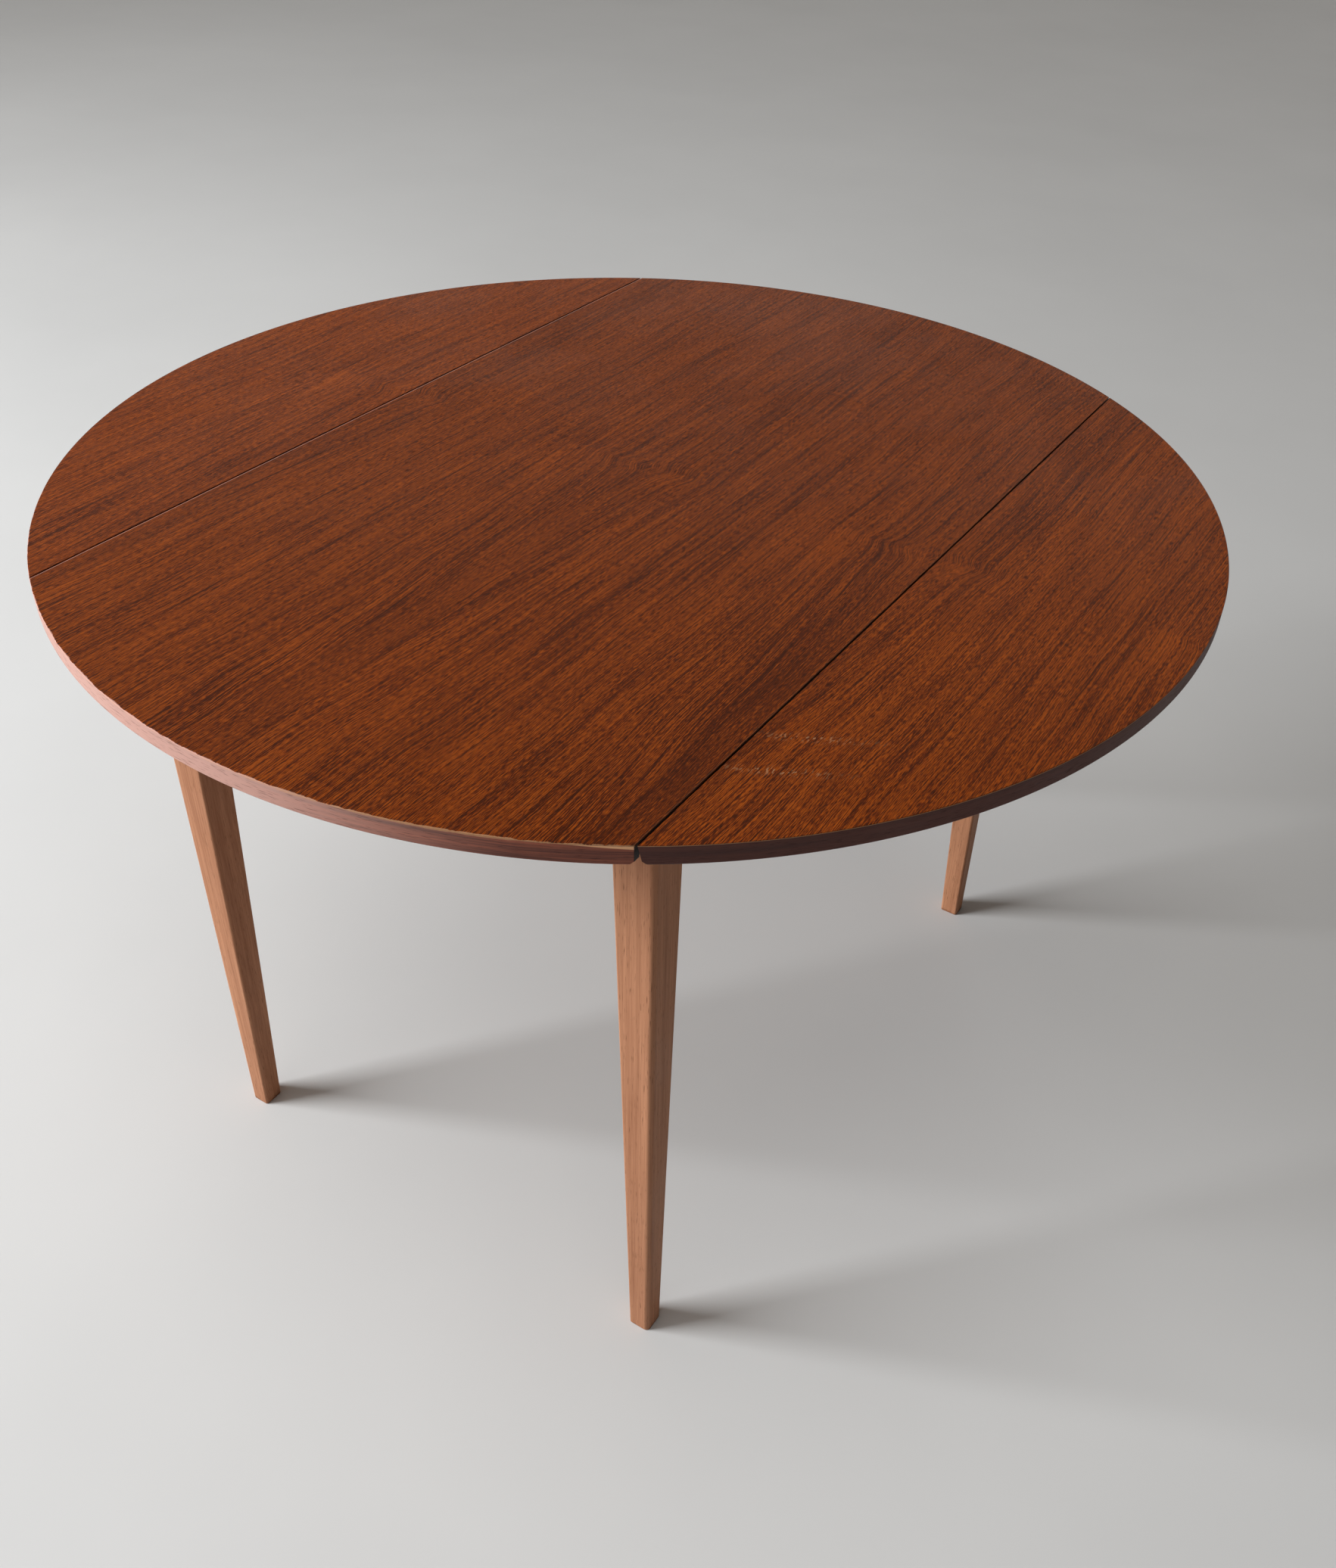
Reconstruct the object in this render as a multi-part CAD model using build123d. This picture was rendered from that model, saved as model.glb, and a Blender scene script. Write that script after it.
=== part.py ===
"""Round drop leaf table: a fixed centre panel on a four-legged frame, and two leaves that drop.

The origin is on the floor under the middle of the table, +Z is up and the hinge lines run along Y.
The right leaf is at +X, the left leaf at -X, the front at -Y. Both leaves are up. Sizes are in millimetres.
"""
import os
from math import sqrt

from build123d import *

# Table top
top_diameter = 1130.0
table_height = 730.0
centre_width = 630.0
board_thickness = 18.0
veneer_thickness = 1.0
lipping_width = 5.0
rim_chamfer = 1.5
joint_gap = 1.6
leaf_undercut = 2.2

# Legs
leg_side_inset = 31.2
leg_end_inset = 73.1
leg_head = 42.0
leg_foot = 23.2
leg_outer_round = 5.5
leg_inner_round = 3.0
foot_ease = 1.0
taper_drop = 2.0

# Rails and their tenons
rail_depth = 70.0
rail_thickness = 20.0
rail_setback = 5.0
rail_edge_round = 2.0
tenon_thickness = 10.0
tenon_shoulder = 8.0
tenon_end_gap = 1.0

# Corner blocks
block_height = 30.0
block_width = 24.0
block_leg_gap = 1.5

# Table hinges
hinge_length = 50.0
hinge_leg_offset = 55.0
knuckle_radius = 3.2
knuckle_count = 3
knuckle_end_gap = 0.3
knuckle_room = 0.4
hinge_pin_radius = 1.5
flap_thickness = 1.6
flap_leg_gap = 3.0
leaf_flap_width = 44.0
flap_corner_round = 3.0

# Folding stays
pivot_standoff = 11.0
stay_reach = 110.0
stay_rise = 10.0
strut_width = 14.0
strut_thickness = 3.0
pivot_pin_radius = 2.5
pivot_pin_overhang = 1.0
slot_pin_radius = 3.0
slot_room = 0.35
side_room = 0.4
ear_thickness = 2.0
ear_radius = 8.0
rail_plate_thickness = 2.0
rail_plate_width = 36.0
rail_plate_height = 32.0
bracket_thickness = 2.5
bracket_edge = 5.5
bracket_flange_width = 22.0
bracket_flange_thickness = 2.0
pin_head_radius = 6.0
pin_head_thickness = 1.5

# Fasteners and fits
screw_shank_radius = 1.75
screw_head_radius = 3.5
screw_sides = 8
flap_screw_length = 14.0
stay_screw_length = 14.0
block_screw_length = 28.0
block_screw_recess = 12.0
top_screw_length = 34.0
top_screw_recess = 8.0
recess_room = 1.0
running_clearance = 0.05
seated_clearance = 0.02

# Levels and lines that follow from the sizes above
top_radius = top_diameter / 2
core_top_z = table_height - veneer_thickness
under_z = table_height - board_thickness
joint_x = centre_width / 2
half_chord = sqrt(top_radius**2 - joint_x**2)
leg_x = joint_x - leg_side_inset
leg_y = half_chord - leg_end_inset
rail_x = leg_x - rail_setback
rail_y = leg_y - rail_setback
rail_bottom_z = under_z - rail_depth
hinge_axis_z = under_z + knuckle_radius - flap_thickness
hinge_end_y = leg_y - hinge_leg_offset
stay_y = hinge_end_y / 2
groove_chamfer = sqrt(2) * (knuckle_radius + knuckle_room) + knuckle_radius - flap_thickness - joint_gap / 2
stay_arm = joint_x - rail_x - pivot_standoff
slot_radius = sqrt(2) * stay_arm


def prism_along_y(points):
    """Solid with the given outline in the XZ plane, long enough to span the whole top."""
    outline = Plane.XZ * make_face(Polyline(*points, close=True))
    return extrude(outline, amount=top_radius + lipping_width, both=True)


def plate_across_y(outline, y_low, y_high):
    """Flat plate with the given outline in the XZ plane, between two Y values."""
    return extrude(Plane.XZ.offset(-y_low) * outline, amount=y_low - y_high)


def span_box(x_span, y_span, z_span):
    """Box between pairs of X, Y and Z values."""
    centre = [(low + high) / 2 for low, high in (x_span, y_span, z_span)]
    size = [high - low for low, high in (x_span, y_span, z_span)]
    return Pos(*centre) * Box(*size)


def across_x(shape):
    """The same piece on the other side of the table."""
    return mirror(shape, about=Plane.YZ)


def across_y(shape):
    """The same piece at the other end of the table."""
    return mirror(shape, about=Plane.XZ)


def four_corners(shape):
    """A piece of the right back quarter, repeated in the other quarters."""
    return [shape, across_x(shape), across_y(shape), across_x(across_y(shape))]


def countersunk_screw(length, seat, outward):
    """Screw with its flat head flush with a surface at seat, driven against the outward direction.

    There are many of them, so each has a few flat sides in place of round ones.
    """
    head_depth = screw_head_radius - screw_shank_radius
    rim = RegularPolygon(screw_head_radius, screw_sides)
    neck = Pos(0, 0, -head_depth) * RegularPolygon(screw_shank_radius, screw_sides)
    screw = loft([neck, rim], ruled=True) + extrude(neck, amount=head_depth - length)
    return Plane(origin=seat, z_dir=outward) * screw


def cut_all(shape, tools):
    """A piece with the room for each tool taken out of it."""
    for tool in tools:
        shape = shape - tool
    return shape


def centre_outline():
    """Section of the centre panel: upright joint edges over a chamfered groove."""
    edge = joint_x - joint_gap / 2
    foot = edge - groove_chamfer
    chamfer_z = under_z + groove_chamfer
    return prism_along_y(
        [
            (-edge, table_height),
            (edge, table_height),
            (edge, chamfer_z),
            (foot, under_z),
            (-foot, under_z),
            (-edge, chamfer_z),
        ]
    )


def leaf_outline():
    """Section of the right leaf: a joint edge that slopes back, over the other half of the groove."""
    edge = joint_x + joint_gap / 2
    waist = edge + leaf_undercut
    outside = top_radius + lipping_width
    return prism_along_y(
        [
            (edge, table_height),
            (outside, table_height),
            (outside, under_z),
            (waist + groove_chamfer, under_z),
            (waist, under_z + groove_chamfer),
        ]
    )


def round_core():
    """The whole round of board inside the lipping."""
    return Pos(0, 0, under_z) * Cylinder(
        top_radius - lipping_width, core_top_z - under_z, align=(Align.CENTER, Align.CENTER, Align.MIN)
    )


def round_veneer():
    """The whole round of face veneer, which covers the board and its lipping."""
    return Pos(0, 0, core_top_z) * Cylinder(
        top_radius, veneer_thickness, align=(Align.CENTER, Align.CENTER, Align.MIN)
    )


def round_lipping():
    """The whole ring of lipping, with its lower outer edge eased."""
    height = core_top_z - under_z
    section = Pos(top_radius - lipping_width / 2, under_z + height / 2) * Rectangle(lipping_width, height)
    lower_outer = section.vertices().sort_by(lambda corner: corner.X - corner.Y)[-1]
    section = chamfer(lower_outer, rim_chamfer)
    return revolve(Plane.XZ * section, Axis.Z)


def leg_section(size):
    """Square leg section whose outer corner stays at the same place at every height."""
    section = Pos(leg_x - size / 2, leg_y - size / 2) * Rectangle(size, size)
    outer = section.vertices().sort_by(lambda corner: corner.X + corner.Y)[-1]
    section = fillet(outer, leg_outer_round)
    inner = section.vertices().filter_by(lambda corner: corner.X < leg_x - size + leg_inner_round)
    low_end = section.vertices().filter_by(lambda corner: corner.Y < leg_y - size + leg_inner_round)
    sharp = inner + [corner for corner in low_end if corner not in inner]
    return fillet(sharp, leg_inner_round)


def right_back_leg():
    """Leg with a square head for the rails, tapered below it on its two inner faces."""
    taper_z = rail_bottom_z - taper_drop
    head_section = leg_section(leg_head)
    foot_section = leg_section(leg_foot)
    head = extrude(Pos(0, 0, taper_z) * head_section, amount=under_z - taper_z)
    shaft = loft([foot_section, Pos(0, 0, taper_z) * head_section], ruled=True)
    sole = shaft.edges().group_by(Axis.Z)[0]
    shaft = chamfer(sole, foot_ease)
    leg = head + shaft
    return leg - side_tenon(leg_y) - end_tenon(leg_x)


def tenon_reach():
    """How far a tenon goes into a leg before it would meet the tenon from the other rail."""
    return leg_head - rail_setback - rail_thickness / 2 - tenon_thickness / 2 - tenon_end_gap


def tenon_z_span():
    """Height of a tenon, with a shoulder above and below."""
    return (rail_bottom_z + tenon_shoulder, under_z - tenon_shoulder)


def tenon_cross_span(rail_face):
    """Thickness of a tenon, in the middle of a rail with the given outer face."""
    middle = rail_face - rail_thickness / 2
    return (middle - tenon_thickness / 2, middle + tenon_thickness / 2)


def side_tenon(leg_face_y):
    """Tenon of the right side rail in the back leg."""
    shoulder = leg_face_y - leg_head
    return span_box(tenon_cross_span(rail_x), (shoulder, shoulder + tenon_reach()), tenon_z_span())


def end_tenon(leg_face_x):
    """Tenon of the back end rail in the right leg."""
    shoulder = leg_face_x - leg_head
    return span_box((shoulder, shoulder + tenon_reach()), tenon_cross_span(rail_y), tenon_z_span())


def right_side_rail():
    """Rail under the right edge of the centre panel, between the legs."""
    half_length = leg_y - leg_head
    rail = span_box((rail_x - rail_thickness, rail_x), (-half_length, half_length), (rail_bottom_z, under_z))
    lower = rail.edges().filter_by(Axis.Y).group_by(Axis.Z)[0]
    rail = fillet(lower, rail_edge_round)
    tenon = side_tenon(leg_y)
    return rail + tenon + across_y(tenon)


def back_end_rail():
    """Rail under the back end of the centre panel, between the legs."""
    half_length = leg_x - leg_head
    rail = span_box((-half_length, half_length), (rail_y - rail_thickness, rail_y), (rail_bottom_z, under_z))
    lower = rail.edges().filter_by(Axis.X).group_by(Axis.Z)[0]
    rail = fillet(lower, rail_edge_round)
    tenon = end_tenon(leg_x)
    return rail + tenon + across_x(tenon)


def block_near_leg():
    """Distance along each rail from the corner of its inner face to the block's leg side."""
    leg_stands_in = leg_head - rail_setback - rail_thickness
    return 2 * leg_stands_in + sqrt(2) * block_leg_gap


def block_far_leg():
    """Distance along each rail from the corner of its inner face to the block's open side."""
    return block_near_leg() + sqrt(2) * block_width


def block_middle():
    """Distance along each rail to the middle of the block's end."""
    return (block_near_leg() + block_far_leg()) / 2


def block_screws():
    """Screws through the right back block, one into each rail, with their heads sunk in the block."""
    x_face = rail_x - rail_thickness
    y_face = rail_y - rail_thickness
    z = under_z - block_height / 2
    side_seat = (x_face - block_screw_recess, y_face - block_middle(), z)
    end_seat = (x_face - block_middle(), y_face - block_screw_recess, z)
    return [
        countersunk_screw(block_screw_length, side_seat, (-1, 0, 0)),
        countersunk_screw(block_screw_length, end_seat, (0, -1, 0)),
    ]


def block_recesses():
    """Open holes in front of the block's screw heads, for the driver."""
    x_face = rail_x - rail_thickness
    y_face = rail_y - rail_thickness
    z = under_z - block_height / 2
    hole = extrude(RegularPolygon(screw_head_radius + recess_room, screw_sides), amount=block_far_leg())
    side_seat = (x_face - block_screw_recess, y_face - block_middle(), z)
    end_seat = (x_face - block_middle(), y_face - block_screw_recess, z)
    top_seat = top_screw_seat()
    return [
        Plane(origin=side_seat, z_dir=(-1, 0, 0)) * hole,
        Plane(origin=end_seat, z_dir=(0, -1, 0)) * hole,
        Plane(origin=top_seat, z_dir=(0, 0, -1)) * hole,
    ]


def top_screw_seat():
    """Where the head of the right back block's screw into the top sits."""
    inset = block_middle() / 2
    x = rail_x - rail_thickness - inset
    y = rail_y - rail_thickness - inset
    return (x, y, under_z - block_height + top_screw_recess)


def top_screw():
    """Screw through the right back block up into the centre panel."""
    return countersunk_screw(top_screw_length, top_screw_seat(), (0, 0, -1))


def right_back_block():
    """Corner block across the right back corner of the rails, clear of the leg."""
    x_face = rail_x - rail_thickness
    y_face = rail_y - rail_thickness
    near = block_near_leg()
    far = block_far_leg()
    plan = make_face(
        Polyline(
            (x_face, y_face - near),
            (x_face, y_face - far),
            (x_face - far, y_face),
            (x_face - near, y_face),
            close=True,
        )
    )
    block = extrude(Pos(0, 0, under_z - block_height) * plan, amount=block_height)
    return cut_all(block, block_screws() + [top_screw()] + block_recesses())


def hinge_places():
    """Y of the middle of each hinge along a joint."""
    return [-hinge_end_y, 0.0, hinge_end_y]


def knuckle_spans(first):
    """Y spans of every second knuckle, counted from the hinge's middle."""
    pitch = (hinge_length + knuckle_end_gap) / knuckle_count
    starts = [-hinge_length / 2 + pitch * place for place in range(first, knuckle_count, 2)]
    return [(start, start + pitch - knuckle_end_gap) for start in starts]


def hinge_flap(far_x, first_knuckle, bore_clearance):
    """Hinge flap at y = 0 with its knuckles: a plate under the board, rolled up into the groove."""
    side = 1 if far_x > joint_x else -1
    near_x = joint_x + side * (knuckle_radius + knuckle_room)
    plan = Pos((near_x + far_x) / 2, 0) * Rectangle(abs(far_x - near_x), hinge_length)
    free_corners = plan.vertices().sort_by(lambda corner: side * corner.X)[-2:]
    plan = fillet(free_corners, flap_corner_round)
    flap = extrude(Pos(0, 0, under_z - flap_thickness) * plan, amount=flap_thickness)
    for low, high in knuckle_spans(first_knuckle):
        x_span = (min(near_x, joint_x), max(near_x, joint_x))
        roll = plate_across_y(Pos(joint_x, hinge_axis_z) * Circle(knuckle_radius), low, high)
        flap = flap + span_box(x_span, (low, high), (under_z - flap_thickness, under_z)) + roll
    bore = Pos(joint_x, hinge_axis_z) * Circle(hinge_pin_radius + bore_clearance)
    flap = flap - plate_across_y(bore, -hinge_length, hinge_length)
    return cut_all(flap, flap_screws(far_x))


def flap_screws(far_x):
    """Two screws of a flap at y = 0, half way along it."""
    side = 1 if far_x > joint_x else -1
    inner_x = joint_x + side * (groove_chamfer + joint_gap)
    x = (inner_x + far_x) / 2
    z = under_z - flap_thickness
    y = hinge_length / 4
    return [countersunk_screw(flap_screw_length, (x, place, z), (0, 0, -1)) for place in (-y, y)]


def fixed_flap_x():
    """Far edge of the fixed flaps, just outside the legs."""
    return leg_x + flap_leg_gap


def leaf_flap_x():
    """Far edge of the leaf flaps."""
    return joint_x + leaf_flap_width


def hinge_pin():
    """Hinge pin at y = 0."""
    section = Pos(joint_x, hinge_axis_z) * Circle(hinge_pin_radius)
    return plate_across_y(section, -hinge_length / 2, hinge_length / 2)


def along_joint(shapes):
    """Pieces of the hinge at y = 0, repeated at every hinge of the joint."""
    return [Pos(0, y, 0) * shape for y in hinge_places() for shape in shapes]


def pivot_point():
    """X and Z of the strut's pivot on the right rail plate."""
    return (joint_x - stay_arm, hinge_axis_z - stay_arm)


def slot_centre():
    """X and Z of the centre of the slot's arc, with the leaf up.

    The strut turns with the leaf, so in the leaf its pin follows the pivot's own path about the hinge,
    a quarter circle, moved along by the strut's reach and rise.
    """
    return (joint_x + stay_reach, hinge_axis_z + stay_rise)


def slot_pin_point():
    """X and Z of the pin at the strut's far end, with the leaf up."""
    x, z = pivot_point()
    return (x + stay_reach, z + stay_rise)


def strut_side_y():
    """Y of the strut's side that faces the bracket."""
    return stay_y + strut_thickness / 2


def bracket_y_span():
    """Y span of the slotted plate beside the strut."""
    low = strut_side_y() + side_room
    return (low, low + bracket_thickness)


def strut():
    """Flat bar with rounded ends, bored for its pivot and for its pin."""
    a = Vector(*pivot_point())
    b = Vector(*slot_pin_point())
    outline = SlotCenterToCenter((b - a).length, strut_width)
    tilt = Vector(1, 0).get_signed_angle(b - a)
    outline = Pos((a.X + b.X) / 2, (a.Y + b.Y) / 2) * Rot(0, 0, tilt) * outline
    outline = outline - Pos(a.X, a.Y) * Circle(pivot_pin_radius + running_clearance)
    outline = outline - Pos(b.X, b.Y) * Circle(slot_pin_radius)
    return plate_across_y(outline, stay_y - strut_thickness / 2, strut_side_y())


def slot_pin():
    """Headed pin riveted in the strut, which runs in the bracket's slot."""
    x, z = slot_pin_point()
    head_y = bracket_y_span()[1] + side_room
    shank = plate_across_y(Pos(x, z) * Circle(slot_pin_radius), stay_y - strut_thickness / 2, head_y)
    head = plate_across_y(Pos(x, z) * Circle(pin_head_radius), head_y, head_y + pin_head_thickness)
    return shank + head


def leaf_bracket():
    """Bracket under the leaf: a flange for its screws and a plate with the curved slot."""
    x, z = slot_centre()
    y_low, y_high = bracket_y_span()
    half_length = stay_arm + slot_pin_radius + slot_room + bracket_edge
    outer_radius = slot_radius + slot_pin_radius + slot_room + bracket_edge
    below = z - outer_radius
    window = Pos(x, (below + under_z) / 2) * Rectangle(2 * half_length, under_z - below)
    outline = window & (Pos(x, z) * Circle(outer_radius))
    path = CenterArc((x, z), slot_radius, 225, 90)
    outline = outline - SlotArc(path, 2 * (slot_pin_radius + slot_room))
    plate = plate_across_y(outline, y_low, y_high)
    flange_z = under_z - bracket_flange_thickness
    flange = span_box(
        (x - half_length, x + half_length), (y_low, y_low + bracket_flange_width), (flange_z, under_z)
    )
    return cut_all(plate + flange, bracket_screws())


def bracket_screws():
    """Two screws through the bracket's flange into the leaf."""
    x = slot_centre()[0]
    y_low, y_high = bracket_y_span()
    y = (y_high + y_low + bracket_flange_width) / 2
    z = under_z - bracket_flange_thickness
    return [countersunk_screw(stay_screw_length, (x + dx, y, z), (0, 0, -1)) for dx in (-stay_arm, stay_arm)]


def rail_plate():
    """Plate on the side rail with two ears that hold the strut's pivot pin."""
    x, z = pivot_point()
    face = rail_x + rail_plate_thickness
    half_width = rail_plate_width / 2
    half_height = rail_plate_height / 2
    plate = span_box(
        (rail_x, face), (stay_y - half_width, stay_y + half_width), (z - half_height, z + half_height)
    )
    ear_outline = Pos((rail_x + x) / 2, z) * Rectangle(x - rail_x, 2 * ear_radius)
    ear_outline = ear_outline + Pos(x, z) * Circle(ear_radius)
    ear_outline = ear_outline - Pos(x, z) * Circle(pivot_pin_radius + seated_clearance)
    for low in ear_starts():
        plate = plate + plate_across_y(ear_outline, low, low + ear_thickness)
    return cut_all(plate, rail_plate_screws())


def ear_starts():
    """Y where each of the two ears starts, on either side of the strut."""
    inner = strut_thickness / 2 + side_room
    return [stay_y - inner - ear_thickness, stay_y + inner]


def rail_plate_screws():
    """Two screws through the rail plate, one on each side of the ears."""
    z = pivot_point()[1]
    face = rail_x + rail_plate_thickness
    ear_outside = strut_thickness / 2 + side_room + ear_thickness
    offset = (ear_outside + rail_plate_width / 2) / 2
    seats = [(face, stay_y - offset, z), (face, stay_y + offset, z)]
    return [countersunk_screw(stay_screw_length, seat, (1, 0, 0)) for seat in seats]


def pivot_pin():
    """Plain pin through the strut, pressed in both ears and a little longer than the span of the two."""
    x, z = pivot_point()
    low = ear_starts()[0] - pivot_pin_overhang
    high = ear_starts()[1] + ear_thickness + pivot_pin_overhang
    return plate_across_y(Pos(x, z) * Circle(pivot_pin_radius), low, high)


def group(shapes):
    """Separate solids that share one file."""
    return Compound(children=[solid for shape in shapes for solid in shape.solids()])


def both_ends(shape):
    """A piece of the back half and its twin at the front."""
    return [shape, across_y(shape)]


def both_sides(shapes):
    """Pieces of the right side and their twins on the left."""
    return shapes + [across_x(shape) for shape in shapes]


def top_nodes():
    """Boards, veneers and lippings, with the holes for every screw that goes into them."""
    fixed_screws = both_sides(along_joint(flap_screws(fixed_flap_x())))
    leaf_screws = along_joint(flap_screws(leaf_flap_x()))
    for screw in bracket_screws():
        leaf_screws = leaf_screws + both_ends(screw)
    centre = centre_outline()
    leaf = leaf_outline()
    front_lipping, back_lipping = (round_lipping() & centre).solids().sort_by(Axis.Y)
    leaf_panel = cut_all(round_core() & leaf, leaf_screws)
    nodes = {
        "centre_panel": cut_all(round_core() & centre, fixed_screws + four_corners(top_screw())),
        "centre_veneer": round_veneer() & centre,
        "centre_lipping_front": front_lipping,
        "centre_lipping_back": back_lipping,
    }
    leaf_pieces = {"panel": leaf_panel, "veneer": round_veneer() & leaf, "lipping": round_lipping() & leaf}
    for name, shape in leaf_pieces.items():
        nodes["right_leaf_" + name] = shape
        nodes["left_leaf_" + name] = across_x(shape)
    return nodes


def corner_names(prefix):
    """Names of a piece in the order that four_corners makes it."""
    return [prefix + place for place in ("_right_back", "_left_back", "_right_front", "_left_front")]


def frame_nodes():
    """Legs, rails and corner blocks, with the screws that hold them and the top."""
    side_rail = cut_all(right_side_rail(), [s for screw in block_screws() for s in both_ends(screw)])
    side_rail = cut_all(side_rail, [s for screw in rail_plate_screws() for s in both_ends(screw)])
    end_rail = cut_all(back_end_rail(), both_sides(block_screws()))
    nodes = {
        "side_rail_right": side_rail,
        "side_rail_left": across_x(side_rail),
        "end_rail_back": end_rail,
        "end_rail_front": across_y(end_rail),
        "corner_block_screws": group([s for screw in block_screws() for s in four_corners(screw)]),
        "top_fixing_screws": group(four_corners(top_screw())),
    }
    nodes.update(zip(corner_names("leg"), four_corners(right_back_leg())))
    nodes.update(zip(corner_names("corner_block"), four_corners(right_back_block())))
    return nodes


def hinge_nodes():
    """Flaps, pins and screws of the hinges on both joints."""
    fixed_flaps = along_joint([hinge_flap(fixed_flap_x(), 0, seated_clearance)])
    leaf_flaps = along_joint([hinge_flap(leaf_flap_x(), 1, running_clearance)])
    leaf_screws = along_joint(flap_screws(leaf_flap_x()))
    fixed_screws = along_joint(flap_screws(fixed_flap_x()))
    pieces = {
        "fixed_flaps": fixed_flaps,
        "leaf_flaps": leaf_flaps,
        "pins": along_joint([hinge_pin()]),
        "leaf_screws": leaf_screws,
    }
    nodes = {"hinge_fixed_screws": group(both_sides(fixed_screws))}
    for name, shapes in pieces.items():
        nodes["right_hinge_" + name] = group(shapes)
        nodes["left_hinge_" + name] = group([across_x(shape) for shape in shapes])
    return nodes


def stay_nodes():
    """Rail plates, struts, pins, slotted brackets and screws of the folding stays."""
    brackets = both_ends(leaf_bracket())
    screws = [s for screw in bracket_screws() for s in both_ends(screw)]
    nodes = {
        "stay_rail_plates": group(four_corners(rail_plate())),
        "stay_pivot_pins": group(four_corners(pivot_pin())),
        "stay_plate_screws": group([s for screw in rail_plate_screws() for s in four_corners(screw)]),
        "right_stay_brackets": group(brackets),
        "left_stay_brackets": group([across_x(shape) for shape in brackets]),
        "right_stay_bracket_screws": group(screws),
        "left_stay_bracket_screws": group([across_x(shape) for shape in screws]),
    }
    nodes.update(zip(corner_names("stay_strut"), four_corners(strut())))
    nodes.update(zip(corner_names("stay_slot_pin"), four_corners(slot_pin())))
    return nodes


os.makedirs("parts", exist_ok=True)
for node, shape in (top_nodes() | frame_nodes() | hinge_nodes() | stay_nodes()).items():
    export_step(shape, "parts/" + node + ".step")
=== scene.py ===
"""Looks of a round drop leaf table on four tapered legs, laid out as a Blender add-on and run as a script.

Everything is in metres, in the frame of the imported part: the origin is on the floor under the middle of the
table, +Z is up, the hinge lines run along Y, the right leaf is at +X and the front is at -Y.
"""
from functools import partial, reduce
from math import pi, radians

import bmesh
import bpy
from mathutils import Matrix, Vector


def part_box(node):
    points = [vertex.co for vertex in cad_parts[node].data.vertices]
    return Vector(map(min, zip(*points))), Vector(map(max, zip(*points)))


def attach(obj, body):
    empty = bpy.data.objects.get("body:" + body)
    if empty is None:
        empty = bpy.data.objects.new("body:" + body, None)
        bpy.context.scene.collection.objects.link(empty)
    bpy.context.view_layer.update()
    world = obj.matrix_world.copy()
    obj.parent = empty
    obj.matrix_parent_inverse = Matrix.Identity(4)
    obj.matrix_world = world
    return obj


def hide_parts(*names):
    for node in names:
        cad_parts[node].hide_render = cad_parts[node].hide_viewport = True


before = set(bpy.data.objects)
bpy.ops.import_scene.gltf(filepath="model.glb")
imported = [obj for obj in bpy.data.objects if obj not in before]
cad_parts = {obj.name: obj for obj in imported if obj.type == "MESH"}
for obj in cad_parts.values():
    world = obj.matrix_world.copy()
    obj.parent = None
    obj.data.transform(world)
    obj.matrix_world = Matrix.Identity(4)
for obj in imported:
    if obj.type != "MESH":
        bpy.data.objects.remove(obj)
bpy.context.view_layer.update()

bl_info = {
    "name": "Drop leaf table",
    "version": (1, 0, 0),
    "blender": (4, 5, 0),
    "location": "View3D > Sidebar > Table",
    "description": "Veneer, lipping, legs, fittings and stage of a round drop leaf table",
    "category": "Object",
}

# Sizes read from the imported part
FACE_LOW, FACE_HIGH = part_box("centre_veneer")
LEAF_LOW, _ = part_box("right_leaf_veneer")
BOARD_LOW, BOARD_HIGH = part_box("centre_panel")
_, LEG_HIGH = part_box("leg_right_back")
RAIL_LOW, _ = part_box("side_rail_right")
TOP_RADIUS = FACE_HIGH.y
TABLE_TOP = FACE_HIGH.z
BOARD_TOP = FACE_LOW.z
UNDERSIDE = BOARD_LOW.z
BOARD_RADIUS = BOARD_HIGH.y

# The edges of the centre panel and of the right leaf at their joint, which the left joint mirrors
PANEL_EDGE = FACE_HIGH.x
LEAF_EDGE = LEAF_LOW.x

# The leaves and the corners of the frame, with their sides of X and Y
LEAVES = (("right_leaf", 1), ("left_leaf", -1))
CORNERS = (("right_back", 1, 1), ("right_front", 1, -1), ("left_back", -1, 1), ("left_front", -1, -1))

# Steps round the rim, and the distances within which points are merged, picked and cut
RIM_STEPS = 360
MERGED = 1e-6
PICKED = 1e-5
CUT = 1e-7

# A level face has more than this of its normal along Z, and an edge that turns more than this is sharp
LEVEL = 0.9
SHARP_TURN = radians(40)

# The flame in each leaf of veneer: its middle and how far that wanders, its half width and its front end, and
# how far its lines are drawn in there and kinked where it starts
FLAME_MIDDLE = -0.008
FLAME_WANDER = 0.014
FLAME_HALF_WIDTH = 0.058
FLAME_END = -0.52
FLAME_DRAW = 0.036
FLAME_KINK = -0.009

# Bands of tone before and behind the start of the flame: place across the lines, width and strength
FLAME_ARMS = ((0.0400, 0.0036, 0.7), (0.0415, 0.0011, 0.9), (0.0330, 0.0010, 0.6), (0.0270, 0.0016, 0.8))
BACK_BANDS = ((0.102, 0.014, 0.09), (-0.055, 0.005, 0.09), (0.045, 0.024, -0.06))

# Each leaf against the centre panel: the right's own tone, the left's painted sheen, and their fade into the
# joint
RIGHT_TINT = (1.25, 1.25, 0.80)
LEFT_PAINTED_SHEEN = (1.12, 1.12, 1.20)
LEAF_FADE = 0.0005

# The middle of each row of nicks on the right leaf, how far the rows slant, and half their length and width
NICK_ROWS = ((0.355, -0.289), (0.367, -0.333))
NICK_SLOPE = 0.5
NICK_HALF_LENGTH = 0.034
NICK_HALF_WIDTH = 0.0045

# The chip in the front rim: where it starts, and its depths there and at the joint
CHIP_START = 0.262
CHIP_DEPTHS = (-0.0006, 0.0032)

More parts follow.
